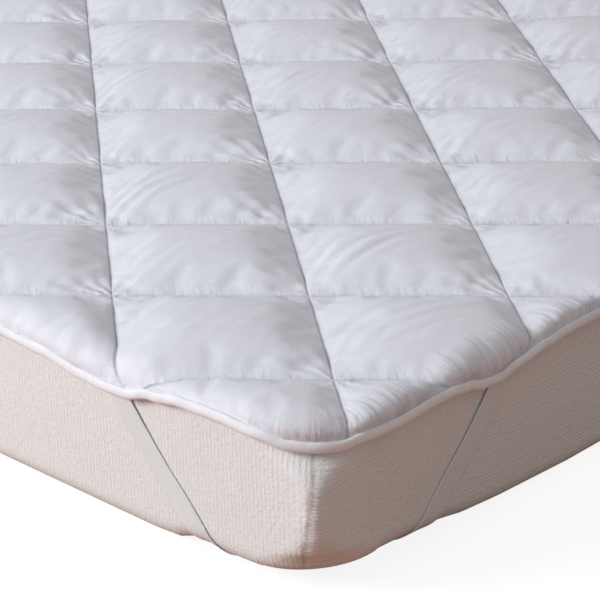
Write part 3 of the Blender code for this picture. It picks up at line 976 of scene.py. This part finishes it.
def pad_cotton():
    """White percale. On top of the folds in the mesh are finer ones, and the seams' stitching,
    with painted shade in the seams' valleys and in the hem's gathers.
    """
    n = Nodes("pad_cotton")
    metres = n.uv("metres")
    a, b = n.split(n.uv("lattice"))
    u = n.math("FRACT", a)
    w = n.math("FRACT", b)
    diamond = n.add("ShaderNodeCombineXYZ")
    n.link(n.math("MULTIPLY", n.math("FLOOR", a), 3.17), diamond.inputs[0])
    n.link(n.math("MULTIPLY", n.math("FLOOR", b), 2.71), diamond.inputs[1])
    lot = n.ramp(n.noise(diamond.outputs[0], 1.3, 0.0), 0.3, 0.7)
    stray = n.noise(metres, 9.0, 2.0)

    def ripple(centre_u, centre_w, turns, rings):
        """Wrinkles round a point: by turns they radiate from it, by rings they curve round it."""
        du = n.math("SUBTRACT", u, centre_u)
        dw = n.math("SUBTRACT", w, centre_w)
        far = n.math("SQRT", n.math("ADD", n.math("MULTIPLY", du, du), n.math("MULTIPLY", dw, dw)))
        phase = n.math("MULTIPLY", far, rings)
        if turns:
            angle = n.math("ARCTAN2", dw, du)
            phase = n.math("ADD", phase, n.math("MULTIPLY", angle, turns))
        phase = n.math("ADD", phase, n.math("MULTIPLY", stray, 9.0))
        phase = n.math("ADD", phase, n.math("MULTIPLY", lot, 5.0))
        return far, n.math("SINE", phase)

    arc_far, arcs = ripple(1.15, -0.45, 0.0, 62.0)
    arc_share = n.math("MULTIPLY", n.ramp(arc_far, 0.95, 1.20), n.ramp(arc_far, 1.60, 1.35))
    arc_share = n.math("MULTIPLY", arc_share, n.ramp(n.noise(metres, 6.0, 1.0), 0.40, 0.62))
    folds = n.math("MULTIPLY", n.math("MULTIPLY", arcs, arc_share), 0.55)
    for centre_u, centre_w, turns, reach, share in (
        (1.04, -0.04, 17.0, 0.55, 0.95),
        (-0.04, 1.04, 13.0, 0.40, 0.60),
        (-0.04, -0.04, 14.0, 0.38, 0.60),
        (1.04, 1.04, 13.0, 0.35, 0.45),
    ):
        far, rays = ripple(centre_u, centre_w, turns, 4.0)
        weight = n.math("MULTIPLY", n.ramp(far, reach, 0.08), n.ramp(far, 0.05, 0.10))
        patchy = n.ramp(n.noise(metres, 14.0, 1.0), 0.36, 0.62, 0.15, 1.0)
        weight = n.math("MULTIPLY", weight, patchy)
        folds = n.math("ADD", folds, n.math("MULTIPLY", n.math("MULTIPLY", rays, weight), share))

    along, beyond = n.split(n.uv("hem"))
    gathers = n.noise(n.uv("hem", (95.0, 11.0)), 1.0, 2.0, 0.55, 0.3)
    gathers = n.ramp(gathers, 0.34, 0.62)
    near_hem = n.ramp(beyond, -0.004, 0.032)
    pulled = n.ramp(n.noise(n.uv("hem", (13.0, 0.0)), 1.0, 1.0), 0.35, 0.60, 0.25, 1.0)
    short_side = n.ramp(along, -0.01, 0.03, 0.22, 1.0)
    near_hem = n.math("MULTIPLY", near_hem, n.math("MULTIPLY", pulled, short_side))
    hem_folds = n.math("MULTIPLY", gathers, near_hem)

    near_a = n.math("PINGPONG", a, 0.5)
    near_b = n.math("PINGPONG", b, 0.5)
    nearest = n.math("MINIMUM", near_a, near_b)
    groove = n.ramp(nearest, 0.0, 0.012)
    across_a = n.noise(n.uv("lattice", (5.0, 22.0)), 1.0, 2.0, 0.55, 0.5)
    across_b = n.noise(n.uv("lattice", (22.0, 5.0)), 1.0, 2.0, 0.55, 0.5)
    tucks = n.math("ADD", n.math("MULTIPLY", across_a, n.ramp(near_a, 0.13, 0.0)),
                   n.math("MULTIPLY", across_b, n.ramp(near_b, 0.09, 0.0)))
    soft = n.noise(n.uv("metres", (9.0, 26.0), math.radians(-52)), 1.0, 2.0, 0.5, 0.5)
    weave = n.math("ADD", n.wave(metres, PAD_THREADS, 0.6, 1.0, 2.0),
                   n.wave(metres, PAD_THREADS, 0.6, 1.0, 2.0, "Y"))

    normal = n.bump(soft, 0.0060, 0.5)
    normal = n.bump(folds, 0.0022, 0.60, normal)
    normal = n.bump(tucks, 0.0050, 0.6, normal)
    normal = n.bump(hem_folds, 0.0050, 0.75, normal)
    normal = n.bump(groove, 0.0022, 0.9, normal)
    normal = n.bump(weave, 0.00012, 0.6, normal)
    tint = n.mix(n.noise(metres, 9.0, 3.0), PAD_LOW, PAD_HIGH)
    # painted shade: the colour darkens in the seams' valleys and in the creases of the hem's
    # gathers
    seam_and_crease_shade = n.math("MULTIPLY", n.ramp(nearest, 0.010, 0.0), 0.45)
    painted_crease_shade = n.math("MULTIPLY", n.math("SUBTRACT", 1.0, gathers), near_hem)
    seam_and_crease_shade = n.math("MAXIMUM", seam_and_crease_shade, n.math("MULTIPLY", painted_crease_shade, 0.40))
    tint = n.mix(seam_and_crease_shade, tint, PAD_PAINTED_SHADE)
    return n.finish(tint, 0.82, normal, 0.12)


def binding_cotton():
    """White bias strip with small slanted gathers and a stitch line near its upper edge, with
    painted shade in the hollows of the gathers.
    """
    n = Nodes("binding_cotton")
    metres = n.uv("metres")
    gone, around = n.split(metres)
    gathers = n.noise(n.uv("metres", (120.0, 45.0), math.radians(18)), 1.0, 2.0, 0.5, 0.4)
    weave = n.wave(n.uv("metres", (1.0, 1.0), math.radians(45)), BINDING_THREADS, 0.5)
    stitch = n.math("PINGPONG", n.math("MULTIPLY", gone, STITCHES), 0.5)
    row = n.math("ABSOLUTE", n.math("SUBTRACT", around, STITCH_ROW))
    thread = n.math("MULTIPLY", n.ramp(row, 0.0007, 0.0003), n.ramp(stitch, 0.12, 0.2))
    normal = n.bump(gathers, 0.0012, 0.6)
    normal = n.bump(thread, 0.0004, 0.6, normal)
    normal = n.bump(weave, 0.0001, 0.5, normal)
    # painted shade: the colour is darker in the hollows of the gathers, following their relief
    tint = n.mix(gathers, BINDING_LOW, BINDING_HIGH)
    return n.finish(tint, 0.85, normal, 0.1)


def strap_elastic():
    """Flat woven elastic: fine ribs along it and short wefts across, with painted shade between
    the ribs.
    """
    n = Nodes("strap_elastic")
    metres = n.uv("metres")
    ribs = n.wave(metres, STRAP_RIBS, 0.3, 0.0, 1.0, "Y")
    wefts = n.wave(metres, STRAP_WEFTS, 1.2, 1.0, 3.0, "X")
    height = n.math("ADD", ribs, n.math("MULTIPLY", wefts, 0.6))
    # painted shade: the colour is darker between the ribs, following their relief
    tint = n.mix(ribs, STRAP_LOW, STRAP_HIGH)
    return n.finish(tint, 0.75, n.bump(height, 0.00035, 0.8), 0.05)


def mattress_knit(name, scale, direction):
    """Off-white knit, crinkled all over, with soft uneven ribs one way and the corner's seam. Its
    colour is partly its own uneven tone and partly painted shade, darker in the hollows of the
    relief and along the seam.
    """
    n = Nodes(name)
    metres = n.uv("metres")
    ribs = n.wave(metres, scale, 2.2, 2.0, 2.2, direction)
    upright = direction == "X"
    crinkle_scale = (230.0, 170.0) if upright else (170.0, 330.0)
    rib_noise = (200.0, 60.0) if upright else (60.0, 260.0)
    crinkle = n.noise(n.uv("metres", crinkle_scale), 1.0, 3.0, 0.6, 1.0)
    patch = n.noise(n.uv("metres", rib_noise), 1.0, 2.0, 0.5, 0.4)
    fine = n.noise(metres, 900.0, 2.0, 0.6)
    height = n.math("ADD", n.math("MULTIPLY", ribs, 0.16), n.math("MULTIPLY", crinkle, 0.75))
    height = n.math("ADD", height, n.math("MULTIPLY", patch, 0.30))
    normal = n.bump(height, 0.0018, 0.9)
    normal = n.bump(fine, 0.0003, 0.5, normal)
    # The colour follows the relief: partly the knit's own uneven tone, partly painted shade
    # darkening its hollows
    painted_hollow_shade = n.ramp(height, 0.35, 0.90)
    tint = n.mix(painted_hollow_shade, KNIT_LOW, KNIT_HIGH)
    # painted shade: a darker line along the groove of the cover's corner seam
    from_seam, up = n.split(n.uv("seam"))
    uneven = n.math("MULTIPLY", n.math("SUBTRACT", n.noise(metres, 160.0, 2.0), 0.5), 0.004)
    off = n.math("ABSOLUTE", n.math("ADD", from_seam, uneven))
    line = n.math("MULTIPLY", n.ramp(off, 0.0034, 0.0006), n.ramp(up, 0.010, 0.050))
    line = n.math("MULTIPLY", line, n.ramp(n.noise(metres, 110.0, 2.0), 0.30, 0.65, 0.20, 0.70))
    tint = n.mix(line, tint, KNIT_SEAM_SHADE)
    return n.finish(tint, 0.9, normal, 0.1)


# ---------------------------------------------------------------- stage

def camera():
    """The photograph's viewpoint."""
    turn, down = CAMERA_TURN, CAMERA_DOWN
    look = Vector((math.sin(turn) * math.cos(down), math.cos(turn) * math.cos(down),
                   -math.sin(down)))
    right = look.cross(Vector((0, 0, 1))).normalized()
    up = right.cross(look)
    cos, sin = math.cos(CAMERA_ROLL), math.sin(CAMERA_ROLL)
    across = right * cos + up * sin
    above = up * cos - right * sin
    data = bpy.data.cameras.new("camera")
    data.sensor_width = SENSOR_WIDTH
    data.lens = CAMERA_LENS
    data.clip_start = 0.05
    data.clip_end = 60
    view = bpy.data.objects.new("camera", data)
    view.matrix_world = Matrix((
        (across.x, above.x, -look.x, CAMERA_AT[0]),
        (across.y, above.y, -look.y, CAMERA_AT[1]),
        (across.z, above.z, -look.z, CAMERA_AT[2]),
        (0, 0, 0, 1),
    ))
    bpy.context.scene.collection.objects.link(view)
    bpy.context.scene.camera = view


def key_light():
    data = bpy.data.lights.new("key", "AREA")
    data.shape = "DISK"
    data.size = KEY_SIZE
    data.energy = KEY_POWER
    data.color = KEY_COLOUR
    lamp = bpy.data.objects.new("key", data)
    way = Vector(KEY_WAY).normalized()
    lamp.location = Vector(KEY_AIM) + way * KEY_DISTANCE
    lamp.rotation_euler = way.to_track_quat("Z", "Y").to_euler()
    bpy.context.scene.collection.objects.link(lamp)


def stage():
    """Floor, sky and key light. The floor looks pale and plain, and its bounce is warm."""
    n = Nodes("floor_paint")
    n.shader.inputs["Base Color"].default_value = (*FLOOR_SEEN, 1.0)
    n.shader.inputs["Roughness"].default_value = 1.0
    n.shader.inputs["Specular IOR Level"].default_value = 0.0
    glow = n.add("ShaderNodeEmission")
    glow.inputs["Strength"].default_value = FLOOR_GLOW
    bounce = n.add("ShaderNodeBsdfDiffuse")
    bounce.inputs["Color"].default_value = (*FLOOR_BOUNCE, 1.0)
    seen = n.add("ShaderNodeLightPath")
    both = n.add("ShaderNodeAddShader")
    share = n.add("ShaderNodeMixShader")
    output = n.tree.nodes["Material Output"]
    n.link(n.shader.outputs[0], both.inputs[0])
    n.link(glow.outputs[0], both.inputs[1])
    n.link(seen.outputs["Is Camera Ray"], share.inputs[0])
    n.link(bounce.outputs[0], share.inputs[1])
    n.link(both.outputs[0], share.inputs[2])
    n.link(share.outputs[0], output.inputs["Surface"])
    mesh = bpy.data.meshes.new("floor")
    spots = [(x * FLOOR_HALF, y * FLOOR_HALF, -FLOOR_BELOW)
             for x, y in ((-1, -1), (1, -1), (1, 1), (-1, 1))]
    mesh.from_pydata(spots, [], [(0, 1, 2, 3)])
    mesh.materials.append(n.material)
    floor = bpy.data.objects.new("floor", mesh)
    bpy.context.scene.collection.objects.link(floor)
    world = bpy.data.worlds.new("studio")
    world.use_nodes = True
    sky = world.node_tree.nodes["Background"]
    sky.inputs["Color"].default_value = (*SKY_COLOUR, 1.0)
    sky.inputs["Strength"].default_value = SKY
    bpy.context.scene.world = world
    bpy.context.scene.view_settings.view_transform = "Standard"
    key_light()


camera()
stage()
mattress(
    mattress_knit("mattress_knit_long", LONG_RIBS, "X"),
    mattress_knit("mattress_knit_short", SHORT_RIBS, "Y"),
)
quilted_pad(pad_cotton())
binding(binding_cotton())
straps(strap_elastic())
bpy.context.view_layer.update()
